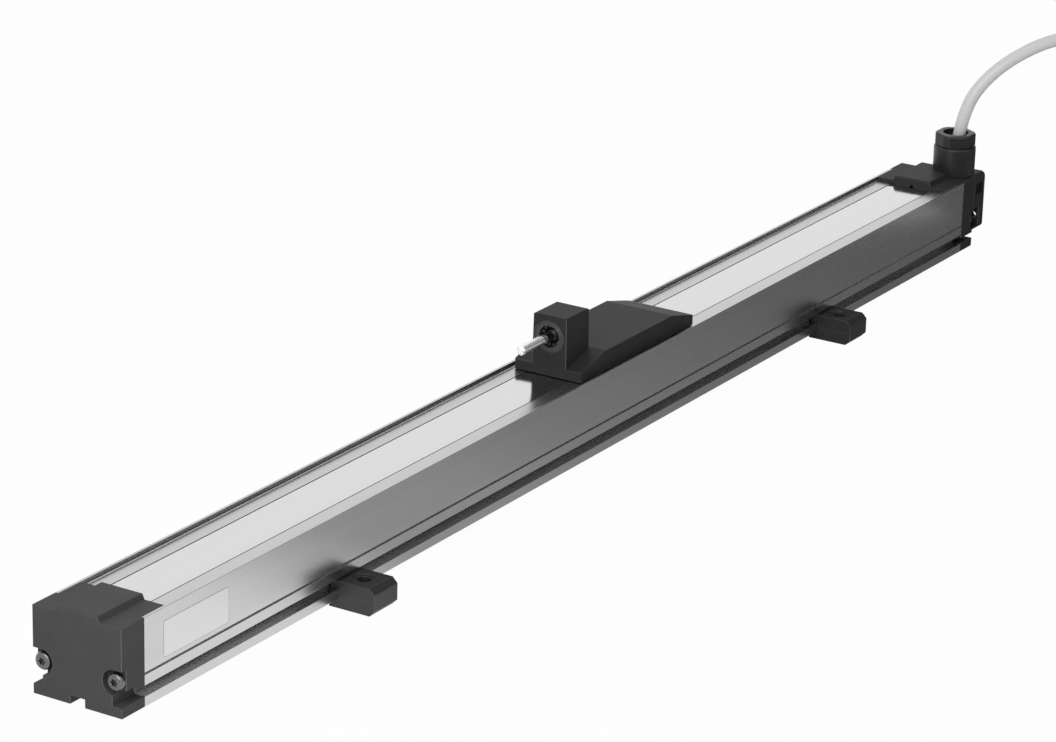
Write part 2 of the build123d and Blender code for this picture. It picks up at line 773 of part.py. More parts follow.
finger_root = carriage_middle - 6.0
finger_bend = carriage_middle - 2.0
finger_tip = carriage_middle + 7.0
finger_reach = 8.6
finger_end = carriage_middle + finger_reach
with BuildPart() as wiper_fingers:
    for side in (-1, 1):
        with BuildSketch(along(side * track_spread / 2)):
            with BuildLine():
                Polyline(
                    (finger_root, block_low),
                    (finger_bend, block_low),
                    (finger_tip, track_z + fit_gap + finger_sheet),
                    (finger_end, track_z + 0.9 + finger_sheet),
                    (finger_end, track_z + 0.9),
                    (finger_tip, track_z + fit_gap),
                    (finger_bend, block_low - finger_sheet),
                    (finger_root, block_low - finger_sheet),
                    close=True,
                )
            make_face()
        extrude(amount=finger_width / 2, both=True)
    with BuildSketch(Plane.XY.offset(track_z)):
        for side in (-1, 1):
            with Locations(((finger_bend + finger_end) / 2 + 1.0, side * track_spread / 2)):
                with GridLocations(0, finger_width / (finger_slots + 1), 1, finger_slots):
                    Rectangle(finger_end - finger_bend, finger_slot)
    extrude(amount=block_low - track_z, mode=Mode.SUBTRACT)
wiper_fingers.part.label = "wiper_fingers"
export_step(wiper_fingers.part, "parts/wiper_fingers.step")

# Mounting clamps: four pairs of halves that grip the housing's feet from above and below
clamp_length = 15.0
clamp_top = base_z + 6.9
clamp_split = base_z + 1.5
clamp_chamfer = 2.15
clamp_outer = half_width + 15.6
clamp_hole_y = 25.0
clamp_hole_radius = 2.75
clamp_ring_radius = 4.4
clamp_ring_depth = 0.5
clamp_upper_reach = groove_y + 0.4
clamp_lower_reach = groove_y - 0.2
near_clamp_inset = 123.7
far_clamp_inset = 130.0
near_clamp_x = near_x + near_clamp_inset
far_clamp_x = far_x - far_clamp_inset
upper_half = [
    (clamp_upper_reach, foot_z + fit_gap),
    (clamp_upper_reach, clamp_top),
    (clamp_outer - clamp_chamfer, clamp_top),
    (clamp_outer, clamp_top - clamp_chamfer),
    (clamp_outer, clamp_split),
    (half_width + fit_gap, clamp_split),
    (half_width + fit_gap, foot_z + fit_gap),
]
lower_half = [
    (clamp_lower_reach, 0),
    (clamp_outer - clamp_chamfer, 0),
    (clamp_outer, clamp_chamfer),
    (clamp_outer, clamp_split),
    (half_width + fit_gap, clamp_split),
    (half_width + fit_gap, base_z - fit_gap),
    (clamp_lower_reach, base_z - fit_gap),
]
for middle, end in ((near_clamp_x, "near"), (far_clamp_x, "far")):
    for side, face in ((-1, "front"), (1, "back")):
        for outline, level in ((upper_half, "upper"), (lower_half, "lower")):
            with BuildPart() as clamp_piece:
                with BuildSketch(across(middle - clamp_length / 2)):
                    with BuildLine():
                        Polyline(*[(side * y, z) for y, z in outline], close=True)
                    make_face()
                extrude(amount=clamp_length)
                with BuildSketch(Plane.XY):
                    with Locations((middle, side * clamp_hole_y)):
                        Circle(clamp_hole_radius)
                extrude(amount=clamp_top, mode=Mode.SUBTRACT)
                if level == "upper":
                    with BuildSketch(Plane.XY.offset(clamp_top - clamp_ring_depth)):
                        with Locations((middle, side * clamp_hole_y)):
                            Circle(clamp_ring_radius)
                    extrude(amount=clamp_ring_depth, mode=Mode.SUBTRACT)
            clamp_piece.part.label = f"{end}_{face}_clamp_{level}"
            export_step(clamp_piece.part, f"parts/{end}_{face}_clamp_{level}.step")

# Cable gland: body screwed into the cap, clamping nut, and the seal round the cable
cable_radius = 2.9
gland_body_top = base_z + 46.7
gland_neck_radius = 8.3
gland_nut_low = base_z + 47.4
gland_nut_top = base_z + 52.7
gland_nut_across = 17.4
gland_nut_radius = 9.25
gland_bore = 5.85
gland_spigot_radius = 7.0
gland_spigot_top = gland_nut_low + 2.6
seal_low = gland_body_top - 1.0
seal_top = gland_nut_low + 2.9
with BuildPart() as gland_body:
    with BuildSketch(Plane.XY.offset(top_z)):
        with Locations((gland_x, gland_y)):
            Circle(gland_radius)
    extrude(amount=gland_body_top - top_z)
    fillet(gland_body.faces().sort_by(Axis.Z)[-1].edges(), 1.0)
    with BuildSketch(Plane.XY.offset(top_z - gland_thread_length)):
        with Locations((gland_x, gland_y)):
            Circle(gland_thread_radius)
    extrude(amount=gland_thread_length)
    with BuildSketch(Plane.XY.offset(gland_body_top)):
        with Locations((gland_x, gland_y)):
            Circle(gland_neck_radius)
    extrude(amount=gland_nut_low - gland_body_top)
    with BuildSketch(Plane.XY.offset(gland_nut_low)):
        with Locations((gland_x, gland_y)):
            Circle(gland_spigot_radius)
    extrude(amount=gland_spigot_top - gland_nut_low)
    with BuildSketch(Plane.XY.offset(seal_low)):
        with Locations((gland_x, gland_y)):
            Circle(gland_bore)
    extrude(amount=gland_spigot_top - seal_low, mode=Mode.SUBTRACT)
    with BuildSketch(Plane.XY.offset(top_z - gland_thread_length)):
        with Locations((gland_x, gland_y)):
            Circle(cable_radius + 0.4)
    extrude(amount=seal_low - top_z + gland_thread_length, mode=Mode.SUBTRACT)
gland_body.part.label = "gland_body"
export_step(gland_body.part, "parts/gland_body.step")

with BuildPart() as gland_nut:
    with BuildSketch(Plane.XY.offset(gland_nut_low)):
        with Locations((gland_x, gland_y)):
            RegularPolygon(gland_nut_across / 2, 6, major_radius=False)
            Circle(gland_nut_radius, mode=Mode.INTERSECT)
    extrude(amount=gland_nut_top - gland_nut_low)
    fillet(gland_nut.faces().sort_by(Axis.Z)[-1].edges(), 0.9)
    with BuildSketch(Plane.XY.offset(gland_nut_low)):
        with Locations((gland_x, gland_y)):
            Circle(gland_bore)
    extrude(amount=gland_nut_top - gland_nut_low, mode=Mode.SUBTRACT)
    with BuildSketch(Plane.XY.offset(gland_nut_low)):
        with Locations((gland_x, gland_y)):
            Circle(gland_spigot_radius)
    extrude(amount=gland_spigot_top - gland_nut_low, mode=Mode.SUBTRACT)
gland_nut.part.label = "gland_nut"
export_step(gland_nut.part, "parts/gland_nut.step")

with BuildPart() as gland_seal:
    with BuildSketch(Plane.XY.offset(seal_low)):
        with Locations((gland_x, gland_y)):
            Circle(gland_bore)
            Circle(cable_radius, mode=Mode.SUBTRACT)
    extrude(amount=seal_top - seal_low)
gland_seal.part.label = "gland_seal"
export_step(gland_seal.part, "parts/gland_seal.step")

# Leads from the board's terminals through the cap to the cable, and the terminals
lead_radius = 0.6
pin_radius = 0.5
pin_x = far_x - board_inset - 3.0
pin_spread = 4.0
pin_top = board_top + 2.4
cable_start = top_z - gland_thread_length - 1.0
lead_turn_x = far_x + 5.6
with BuildPart() as terminal_pins:
    with BuildSketch(Plane.XY.offset(board_top)):
        with Locations((pin_x, 0)):
            with GridLocations(0, pin_spread, 1, 3):
                Circle(pin_radius)
    extrude(amount=pin_top - board_top)
terminal_pins.part.label = "terminal_pins"
export_step(terminal_pins.part, "parts/terminal_pins.step")

lead_low_z = pin_top + 2.6
lead_high_z = cable_start - 5.0
lead_spread = 1.7
lead_gap = 0.02
with BuildPart() as inner_leads:
    for number in (-1, 0, 1):
        pin_y = number * pin_spread
        end_y = gland_y + number * lead_spread
        with BuildLine() as lead_path:
            FilletPolyline(
                (pin_x, pin_y, pin_top),
                (pin_x, pin_y, lead_low_z),
                (lead_turn_x, pin_y / 2 - 3.5, lead_low_z + 0.3),
                (lead_turn_x + 1.4, end_y, lead_high_z),
                (gland_x, end_y, lead_high_z + 2.4),
                (gland_x, end_y, cable_start - lead_gap),
                radius=1.1,
            )
        with BuildSketch(Plane(origin=(pin_x, pin_y, pin_top), z_dir=(0, 0, 1))):
            Circle(lead_radius)
        sweep(path=lead_path.line)
inner_leads.part.label = "inner_leads"
export_step(inner_leads.part, "parts/inner_leads.step")

# Cable route, from the gland over and down to the coil: steps ahead, steps to the left, height
cable_heading = radians(-45.0)
cable_route = [
    (0, 0, cable_start),
    (0, 0, base_z + 60.0),
    (18, 0, base_z + 84.0),
    (52, 0, base_z + 98.6),
    (84, 0, base_z + 89.0),
    (108, -1, base_z + 62.0),
    (122, -5, base_z + 37.0),
    (128.5, -17, base_z + 13.0),
    (129.1, -43, 8.2),
]


def cable_point(ahead, left, height):
    """A point of the cable's route in the part's frame."""
    x = gland_x + ahead * cos(cable_heading) - left * sin(cable_heading)
    y = gland_y + ahead * sin(cable_heading) + left * cos(cable_heading)
    return Vector(x, y, height)


route = [cable_point(*step) for step in cable_route]
with BuildPart() as cable:
    with BuildLine() as cable_line:
        start = route[0]
        for here, corner, after in zip(route, route[1:], route[2:]):
            run_in = corner - here
            run_out = after - corner
            turn = radians(run_in.get_angle(run_out))
            reach = 0.45 * min(run_in.length, run_out.length)
            print("cable bend radius", round(reach / tan(turn / 2), 1))
            bend_in = corner - run_in.normalized() * reach
            bend_out = corner + run_out.normalized() * reach
            Line(start, bend_in)
            TangentArc(bend_in, bend_out, tangent=run_in)
            start = bend_out
        Line(start, route[-1])
    with BuildSketch(Plane(origin=route[0], z_dir=(route[1] - route[0]).normalized())):
        Circle(cable_radius)
    sweep(path=cable_line.line)
cable_run = sum(edge.length for edge in cable_line.edges())
print("cable length", round(cable_run, 1))
print("cable volume by length", round(cable_run * pi * cable_radius**2, 1))
print("cable volume", round(cable.part.volume, 1))
cable.part.label = "cable"
export_step(cable.part, "parts/cable.step")

# Coil of the cable's spare length on the mounting plane, and its bare end
coil_ahead = 101.0
coil_left = -42.0
coil_middle = cable_point(coil_ahead, coil_left, 0)
coil_pitch = 2 * cable_radius
coil_inner = 25.2
coil_rise = coil_pitch * 0.87
with BuildPart() as cable_coil:
    with BuildSketch(Plane.XZ.offset(-coil_middle.Y)):
        with BuildLine():
            Polyline(
                (coil_middle.X + coil_inner - cable_radius, 0),
                (coil_middle.X + coil_inner - cable_radius, coil_pitch),
                (coil_middle.X + coil_inner, coil_pitch + coil_rise),
                (coil_middle.X + coil_inner + coil_pitch, coil_pitch + coil_rise),
                (coil_middle.X + coil_inner + 1.5 * coil_pitch, coil_pitch),
                (coil_middle.X + coil_inner + 2.5 * coil_pitch, coil_pitch),
                (coil_middle.X + coil_inner + 2.5 * coil_pitch, 0),
                close=True,
            )
        make_face()
    revolve(axis=Axis((coil_middle.X, coil_middle.Y, 0), (0, 0, 1)))
cable_coil.part.label = "cable_coil"
export_step(cable_coil.part, "parts/cable_coil.step")

tail_length = 34.0
core_length = 26.0
core_radius = 0.8
core_spread = 1.7
tail_start = cable_point(coil_ahead - coil_inner - 2 * coil_pitch, coil_left, cable_radius)
tail_way = Vector(-sin(cable_heading), cos(cable_heading), 0)
tail_plane = Plane(origin=tail_start, x_dir=(0, 0, 1), z_dir=tail_way)
with BuildPart() as cable_tail:
    with BuildSketch(tail_plane):
        Circle(cable_radius)
    extrude(amount=tail_length)
cable_tail.part.label = "cable_tail"
export_step(cable_tail.part, "parts/cable_tail.step")

with BuildPart() as cable_cores:
    with BuildSketch(tail_plane.offset(tail_length)):
        with GridLocations(0, core_spread, 1, 3):
            Circle(core_radius)
    extrude(amount=core_length)
cable_cores.part.label = "cable_cores"
export_step(cable_cores.part, "parts/cable_cores.step")
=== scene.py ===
"""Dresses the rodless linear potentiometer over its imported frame.

The camera and the flying lead are made first. Then each sub-assembly is built
and given its finishes, and last come the studio's floor, cards and lamps.
"""
import logging
import math
from dataclasses import dataclass
from enum import Enum
from typing import ClassVar, Iterable

import bmesh
import bpy
from mathutils import Matrix, Vector


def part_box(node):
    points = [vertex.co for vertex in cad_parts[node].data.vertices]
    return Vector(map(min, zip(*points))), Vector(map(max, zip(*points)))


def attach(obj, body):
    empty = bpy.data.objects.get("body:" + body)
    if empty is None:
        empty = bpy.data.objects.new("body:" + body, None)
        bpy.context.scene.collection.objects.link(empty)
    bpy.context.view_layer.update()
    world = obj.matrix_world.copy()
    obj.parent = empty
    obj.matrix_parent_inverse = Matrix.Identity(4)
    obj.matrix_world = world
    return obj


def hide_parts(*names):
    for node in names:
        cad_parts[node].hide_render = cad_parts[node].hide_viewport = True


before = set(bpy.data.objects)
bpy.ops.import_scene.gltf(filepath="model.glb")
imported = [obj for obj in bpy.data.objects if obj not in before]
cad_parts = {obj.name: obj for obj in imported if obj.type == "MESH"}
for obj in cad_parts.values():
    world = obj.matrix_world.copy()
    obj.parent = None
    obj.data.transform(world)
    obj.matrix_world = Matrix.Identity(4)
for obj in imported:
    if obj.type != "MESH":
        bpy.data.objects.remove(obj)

log = logging.getLogger("potentiometer")
MM = 0.001
WELD = 1e-7  # metres: corners nearer than this are one
Point = tuple[float, float, float]
Span = tuple[float, float]
Face = tuple[int, ...]
Tone = tuple[float, str]
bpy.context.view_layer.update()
NEAR_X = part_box("profile_housing")[0][0] / MM


class Grain(Enum):
    """The way that a surface's fine marks run, in the part's own axes."""

    EVEN = (1.0, 1.0, 1.0)
    ALONG_X = (0.006, 1.0, 1.0)


def linear(hex_colour: str) -> tuple[float, float, float, float]:
    """Turns an sRGB colour into the linear colour that the shader takes.

    Args:
        hex_colour: The colour as "#RRGGBB".

    Returns:
        Red, green, blue and alpha in linear light.
    """
    values = [int(hex_colour[i : i + 2], 16) / 255 for i in (1, 3, 5)]
    light = [v / 12.92 if v <= 0.04045 else ((v + 0.055) / 1.055) ** 2.4 for v in values]
    return (light[0], light[1], light[2], 1.0)


def add_node(
    tree: bpy.types.NodeTree, kind: str, inputs: dict | None = None, **settings: object
) -> bpy.types.Node:
    """Adds a shader node with its settings and links.

    Args:
        tree: The node tree that gets the node.
        kind: Blender's name for the node, such as "ShaderNodeBump".
        inputs: Input names or numbers, each with a value or an output to link.
        **settings: The node's own attributes.

    Returns:
        The new node.
    """
    node = tree.nodes.new(kind)
    for name, value in settings.items():
        setattr(node, name, value)
    for key, value in (inputs or {}).items():
        if isinstance(value, bpy.types.NodeSocket):
            tree.links.new(value, node.inputs[key])
        else:
            node.inputs[key].default_value = value
    return node


def new_material(name: str) -> tuple[bpy.types.Material, bpy.types.NodeTree]:
    """Makes an empty node material.

    Args:
        name: The material's name.

    Returns:
        The material and its emptied node tree.
    """
    material = bpy.data.materials.new(name)
    material.use_nodes = True
    material.node_tree.nodes.clear()
    return material, material.node_tree


@dataclass(frozen=True)
class Finish:
    """A surface: what it is made of and how it was made.

    A noise at the grain's real size varies the colour and the gloss and raises
    the surface, a wide noise clouds the colour, and open edges get a painted
    highlight in the second colour, upright corners the most.
    """

    # Spans of a mask's input from one end of its effect to the other
    LEAN_SPAN: ClassVar[Span] = (0.15, 0.5)
    SHELTER_SPAN: ClassVar[Span] = (0.75, 0.95)
    TURN_SPAN: ClassVar[Span] = (0.99, 0.78)
    CLOUD_SPAN: ClassVar[Span] = (0.7, 1.3)
    GLOSS_SPAN: ClassVar[Span] = (0.3, 0.7)
    # A level edge's share of the painted edge highlight, the edge widths over which
    # shelter is felt, the smoothest gloss, and the rays that look for each edge
    LEVEL_HIGHLIGHT_SHARE: ClassVar[float] = 0.2
    SHELTER_REACH: ClassVar[float] = 2.0
    SMOOTHEST: ClassVar[float] = 0.02
    EDGE_SAMPLES: ClassVar[int] = 6

    name: str
    colour: str
    # The second colour: random clouds of tone, and the painted edge highlight
    cloud_and_highlight: str
    roughness: float
    metallic: float = 0.0
    ior: float = 1.5
    grain_mm: float = 0.4
    grain: Grain = Grain.EVEN
    relief_mm: float = 0.01
    gloss_spread: float = 0.08
    cloud_mm: float = 25.0
    cloud: float = 0.25
    # edge_mm rounds the normals over edges and sets the painted edge highlight's width; edge is
    # that highlight's strength
    edge_mm: float = 0.35
    edge: float = 0.5
    specular: float = 0.5

    def paint(self) -> bpy.types.Material:
        """Makes the node material of this finish, once.

        Returns:
            The material.
        """
        known = bpy.data.materials.get(self.name)
        if known:
            return known
        material, tree = new_material(self.name)
        place = add_node(tree, "ShaderNodeTexCoord").outputs["Object"]
        stretch = add_node(
            tree, "ShaderNodeMapping", {"Vector": place, "Scale": self.grain.value}
        ).outputs[0]
        fine = add_node(
            tree, "ShaderNodeTexNoise",
            {"Vector": stretch, "Scale": 1 / (self.grain_mm * MM), "Detail": 3.0, "Roughness": 0.6},
        ).outputs["Fac"]
        wide = add_node(
            tree, "ShaderNodeTexNoise",
            {"Vector": stretch, "Scale": 1 / (self.cloud_mm * MM), "Detail": 4.0},
        ).outputs["Fac"]
        rounded = add_node(
            tree, "ShaderNodeBevel", {"Radius": self.edge_mm * MM}, samples=self.EDGE_SAMPLES
        ).outputs[0]
        mixed = add_node(
            tree, "ShaderNodeMath", {0: fine, 1: wide}, operation="ADD"
        ).outputs[0]
        shade = add_node(
            tree, "ShaderNodeMapRange",
            {
                "Value": mixed, "From Min": self.CLOUD_SPAN[0], "From Max": self.CLOUD_SPAN[1],
                "To Min": 0.0, "To Max": self.cloud,
            },
        ).outputs["Result"]
        clouded = add_node(
            tree, "ShaderNodeMix",
            {0: shade, 6: linear(self.colour), 7: linear(self.cloud_and_highlight)}, data_type="RGBA",
        ).outputs[2]
        # Open edges turn to the second colour: a painted highlight
        colour = add_node(
            tree, "ShaderNodeMix",
            {0: self.painted_edge_highlight(tree, rounded), 6: clouded, 7: linear(self.cloud_and_highlight)},
            data_type="RGBA",
        ).outputs[2]
        gloss = add_node(
            tree, "ShaderNodeMapRange",
            {
                "Value": fine, "From Min": self.GLOSS_SPAN[0], "From Max": self.GLOSS_SPAN[1],
                "To Min": max(self.SMOOTHEST, self.roughness - self.gloss_spread),
                "To Max": self.roughness + self.gloss_spread,
            },
        ).outputs["Result"]
        bump = add_node(
            tree, "ShaderNodeBump",
            {
                "Height": fine, "Distance": self.relief_mm * MM, "Strength": 1.0,
                "Normal": rounded,
            },
        ).outputs[0]
        shader = add_node(
            tree, "ShaderNodeBsdfPrincipled",
            {
                "Base Color": colour, "Roughness": gloss, "Metallic": self.metallic,
                "IOR": self.ior, "Specular IOR Level": self.specular, "Normal": bump,
            },
        )
        add_node(tree, "ShaderNodeOutputMaterial", {"Surface": shader.outputs[0]})
        return material

    def painted_edge_highlight(
        self, tree: bpy.types.NodeTree, rounded: bpy.types.NodeSocket
    ) -> bpy.types.NodeSocket:
        """Adds the mask of the painted edge highlight: open edges, upright corners the most.

        Args:
            tree: The finish's node tree.
            rounded: The normal that is rounded over the edges.

        Returns:
            The mask, 0 away from the open edges.
        """
        flat = add_node(tree, "ShaderNodeNewGeometry").outputs["Normal"]
        turn = add_node(
            tree, "ShaderNodeVectorMath", {0: rounded, 1: flat}, operation="DOT_PRODUCT"
        ).outputs["Value"]
        height = add_node(tree, "ShaderNodeSeparateXYZ", {0: rounded}).outputs[2]
        lean = add_node(tree, "ShaderNodeMath", {0: height}, operation="ABSOLUTE").outputs[0]
        highlight_by_lean = add_node(
            tree, "ShaderNodeMapRange",
            {
                "Value": lean, "From Min": self.LEAN_SPAN[0], "From Max": self.LEAN_SPAN[1],
                "To Min": self.edge, "To Max": self.edge * self.LEVEL_HIGHLIGHT_SHARE,
            },
        ).outputs["Result"]
        shelter = add_node(
            tree, "ShaderNodeAmbientOcclusion",
            {"Distance": self.SHELTER_REACH * self.edge_mm * MM},
            samples=self.EDGE_SAMPLES, only_local=True,
        ).outputs["AO"]
        highlight_on_open_edges = add_node(
            tree, "ShaderNodeMapRange",
            {
                "Value": shelter,
                "From Min": self.SHELTER_SPAN[0], "From Max": self.SHELTER_SPAN[1],
                "To Min": 0.0, "To Max": highlight_by_lean,
            },
        ).outputs["Result"]
        return add_node(
            tree, "ShaderNodeMapRange",
            {
                "Value": turn, "From Min": self.TURN_SPAN[0], "From Max": self.TURN_SPAN[1],
                "To Min": 0.0, "To Max": highlight_on_open_edges,
            },
        ).outputs["Result"]


# Each finish's second colour is both its random cloud tone and its painted edge highlight
# Aluminium extrusion, satin anodised: the die's fine lines run lengthwise and smear reflections
ANODISED = Finish(
    "anodised_aluminium_extruded", "#BFBFC0", "#CACACB", 0.25, metallic=1.0,
    grain_mm=0.2, grain=Grain.ALONG_X, relief_mm=0.0004, gloss_spread=0.03,
    cloud_mm=9.0, cloud=0.6, edge_mm=0.32, edge=0.3,
)
# Machined aluminium bars and saddle: cutter marks, brighter than the anodised skin
MACHINED = Finish(
    "aluminium_machined", "#B9B9BB", "#D8D8DA", 0.28, metallic=1.0,
    grain_mm=0.8, grain=Grain.ALONG_X, relief_mm=0.004,
)
# Stainless spring strip, bright rolled: nearly a mirror, with faint rolling lines
STRIP = Finish(
    "stainless_strip_rolled", "#D6D6D6", "#E2E2E2", 0.12, metallic=1.0,
    grain_mm=0.7, grain=Grain.ALONG_X, relief_mm=0.0005, gloss_spread=0.03,
    cloud_mm=30.0, cloud=0.35, edge_mm=0.1, edge=0.2,
)
# Glass-filled nylon, moulded in an eroded tool: dark grey and dull, even grain, painted highlights
# on its corners
NYLON = Finish(
    "nylon_moulded_grained", "#4C4C4C", "#B4B4B4", 0.55,
    grain_mm=0.45, relief_mm=0.02, cloud_mm=14.0, cloud=0.04,
    edge_mm=0.45, edge=0.7, specular=0.08,
)
# The same nylon on the carriage and the connection cap, darker and smoother, with painted
# highlights on its upright edges
COVER_NYLON = Finish(
    "nylon_moulded_cover", "#303030", "#B8B8B8", 0.5,
    grain_mm=0.45, relief_mm=0.012, gloss_spread=0.07, cloud_mm=20.0, cloud=0.015,
    edge_mm=0.4, edge=0.75, specular=0.1,
)
# The clamps' nylon, half glossy: it mirrors the dark wall above and the pale floor below; its edges
# carry a painted highlight
CLAMP_NYLON = Finish(
    "nylon_moulded_clamp", "#282828", "#9A9A9A", 0.42,
    grain_mm=0.45, relief_mm=0.02, cloud_mm=14.0, cloud=0.03, edge=0.7,
)
# Acetal socket in the tower, turned: black, smoother than the cover round it
SOCKET_ACETAL = Finish(
    "acetal_black_turned", "#373737", "#6A6A6A", 0.36, ior=1.48,
    grain_mm=0.5, relief_mm=0.006, gloss_spread=0.05, cloud_mm=9.0, cloud=0.05,
    edge_mm=0.25, edge=0.6,
)
# Polyamide cable gland, moulded in a polished tool: black and half glossy
GLAND_PA = Finish(
    "polyamide_gland_moulded", "#202021", "#48484A", 0.36, ior=1.53,
    grain_mm=0.8, gloss_spread=0.06, cloud_mm=9.0, cloud=0.1, edge_mm=0.3, specular=0.35,
)
# PVC cable sheath, extruded: pale grey, satin, with a faint wave from the extruder
PVC = Finish(
    "pvc_sheath_extruded", "#EAEAEA", "#F2F2F2", 0.3, ior=1.53,
    grain_mm=1.6, relief_mm=0.006, gloss_spread=0.05, cloud_mm=22.0, cloud=0.3,
    edge_mm=0.1, edge=0.0,
)
# Nickel-plated steel stud: bright plate over turned threads
NICKEL = Finish(
    "steel_nickel_plated", "#F2F2F1", "#F8F8F7", 0.08, metallic=1.0,
    grain_mm=0.6, relief_mm=0.001, gloss_spread=0.03,
)
# Hardened ball, phosphated and greased: nearly black
BALL = Finish(
    "steel_ball_phosphated", "#19191A", "#262627", 0.35, metallic=0.6,
    grain_mm=0.6, relief_mm=0.002, gloss_spread=0.05,
)
# Zinc-nickel screws, dark passivated: grey steel with painted highlights on its edges
OXIDE = Finish(
    "steel_dark_passivated", "#5A5A5C", "#A8A8AA", 0.3, metallic=1.0,
    grain_mm=0.5, relief_mm=0.004, cloud_mm=6.0, cloud=0.35, edge_mm=0.18, edge=0.6,
)
# Dark line beside the strip, painted shade of the narrow gap at each side of it: a thin raised line
GAP_SHADE = Finish(
    "painted_gap_shade", "#3E3E3E", "#4E4E4E", 0.6, ior=1.52,
    grain_mm=0.5, grain=Grain.ALONG_X, relief_mm=0.002,
)
# Nitrile rubber seals and bumpers, moulded: matt and nearly black
RUBBER = Finish("nitrile_rubber_moulded", "#1B1B1B", "#303030", 0.62, ior=1.52, grain_mm=0.5)
# Acetal bearing pads, machined: milky white
ACETAL = Finish(
    "acetal_machined", "#DEDDD6", "#ECEBE6", 0.34, ior=1.48, grain_mm=0.9, relief_mm=0.006
)
# Wool felt wipers, pressed: grey and rough
FELT = Finish("wool_felt_pressed", "#5A5956", "#85837E", 0.9, grain_mm=0.25, relief_mm=0.08)
# Glass-epoxy board, pressed, with its solder mask: dark green and smooth
BOARD = Finish(
    "glass_epoxy_board", "#26412C", "#355B3C", 0.38, ior=1.55, grain_mm=0.6, relief_mm=0.004
)
# Conductive plastic track, screened and cured: black, with the squeegee's lines
TRACK = Finish(
    "conductive_plastic_screened", "#1D1D1F", "#2D2D30", 0.3,
    grain_mm=0.3, grain=Grain.ALONG_X, relief_mm=0.003,
)
# Contact springs and pins, gold-plated: warm and bright
CONTACT = Finish(
    "contact_alloy_gold_plated", "#D9B45B", "#EBCF86", 0.2, metallic=1.0, relief_mm=0.001
)
# PVC lead insulation, extruded: reddish brown
LEAD = Finish(
    "pvc_lead_insulation", "#7B3B26", "#94503A", 0.4, ior=1.53, grain_mm=0.6, relief_mm=0.003
)
# Silvered polyester label film with a clear coat: it mirrors what the wall mirrors
LABEL = Finish(
    "polyester_label_film", "#D0D0D0", "#DADADA", 0.3, metallic=1.0,
    grain_mm=0.5, grain=Grain.ALONG_X, relief_mm=0.0005, gloss_spread=0.03,
    cloud_mm=20.0, cloud=0.3, edge_mm=0.02, edge=0.0,
)
# Ink line round the label, printed: a little duller than the film
LABEL_INK = Finish(
    "label_ink_printed", "#A8A8A8", "#B4B4B4", 0.4, metallic=0.6, grain_mm=0.5, relief_mm=0.0005
)


def dress(piece: bpy.types.Object, finish: Finish) -> None:
    """Gives a piece or a CAD node its finish in every slot.

    Args:
        piece: The piece or node.
        finish: Its finish.
    """
    material = finish.paint()
    if not piece.material_slots:
        piece.data.materials.append(material)
    for place in piece.material_slots:
        place.material = material


def dress_nodes(finish: Finish, *names: str) -> None:
    """Gives the CAD nodes with these names one finish."""
    for name in names:
        dress(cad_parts[name], finish)


def mesh_piece(
    name: str,
    points: Iterable,
    faces: Iterable[Face],
    finish: Finish,
    body: str = "housing",
    smooth_deg: float = 35.0,
) -> bpy.types.Object:
    """Makes a mesh piece that rides on a body.

    Args:
        name: The piece's name.
        points: Its corners in metres.
        faces: Its faces as corner numbers.
        finish: Its finish.
        body: The CAD body that carries it.
        smooth_deg: Edges that turn less than this are shaded smooth.

    Returns:
        The piece.
    """
    data = bpy.data.meshes.new(name)
    data.from_pydata([tuple(p) for p in points], [], [tuple(f) for f in faces])
    shape = bmesh.new()
    shape.from_mesh(data)
    bmesh.ops.remove_doubles(shape, verts=shape.verts, dist=WELD)
    bmesh.ops.recalc_face_normals(shape, faces=shape.faces)
    shape.to_mesh(data)
    shape.free()
    piece = bpy.data.objects.new(name, data)
    bpy.context.scene.collection.objects.link(piece)
    for face in data.polygons:
        face.use_smooth = True
    data.set_sharp_from_angle(angle=math.radians(smooth_deg))
    dress(piece, finish)
    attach(piece, body)
    log.info("piece %s on %s: %d faces", name, body, len(data.polygons))
    return piece


def loft(rings: list[list[Point]]) -> tuple[list[Point], list[Face]]:
    """Joins rings of equal length into a closed skin.

    Args:
        rings: The cross sections in order.

    Returns:
        The points and the faces.
    """
    count = len(rings[0])
    points = [p for ring in rings for p in ring]
    faces = []
    for row in range(len(rings) - 1):
        here, ahead = row * count, (row + 1) * count
        for i in range(count):
            j = (i + 1) % count
            faces.append((here + i, here + j, ahead + j, ahead + i))
    faces.append(tuple(range(count)))
    faces.append(tuple((len(rings) - 1) * count + i for i in range(count)))
    return points, faces


@dataclass
class PhotoCamera:
    """The camera of the photograph, found from the housing's own edges. Place in metres."""

    place: Point = (NEAR_X * MM - 1.025593, -0.801921, 0.589984)
    right: Point = (0.53238, -0.84616, 0.02428)
    up: Point = (0.27385, 0.19930, 0.94090)
    lens_mm: float = 140.51
    sensor_mm: float = 36.0
    sight_m: float = 50.0

    def build(self) -> bpy.types.Object:
        """Makes the scene's camera.

        Returns:
            The camera.
        """
        data = bpy.data.cameras.new("photo_camera")
        data.lens = self.lens_mm
        data.sensor_width = self.sensor_mm
        data.sensor_fit = "HORIZONTAL"
        data.clip_end = self.sight_m
        camera = bpy.data.objects.new("photo_camera", data)
        x_axis = Vector(self.right).normalized()
        z_axis = x_axis.cross(Vector(self.up)).normalized()
        y_axis = z_axis.cross(x_axis)
        turn = Matrix((x_axis, y_axis, z_axis)).transposed().to_4x4()
        camera.matrix_world = Matrix.Translation(self.place) @ turn
        bpy.context.scene.collection.objects.link(camera)
        bpy.context.scene.camera = camera
        return camera


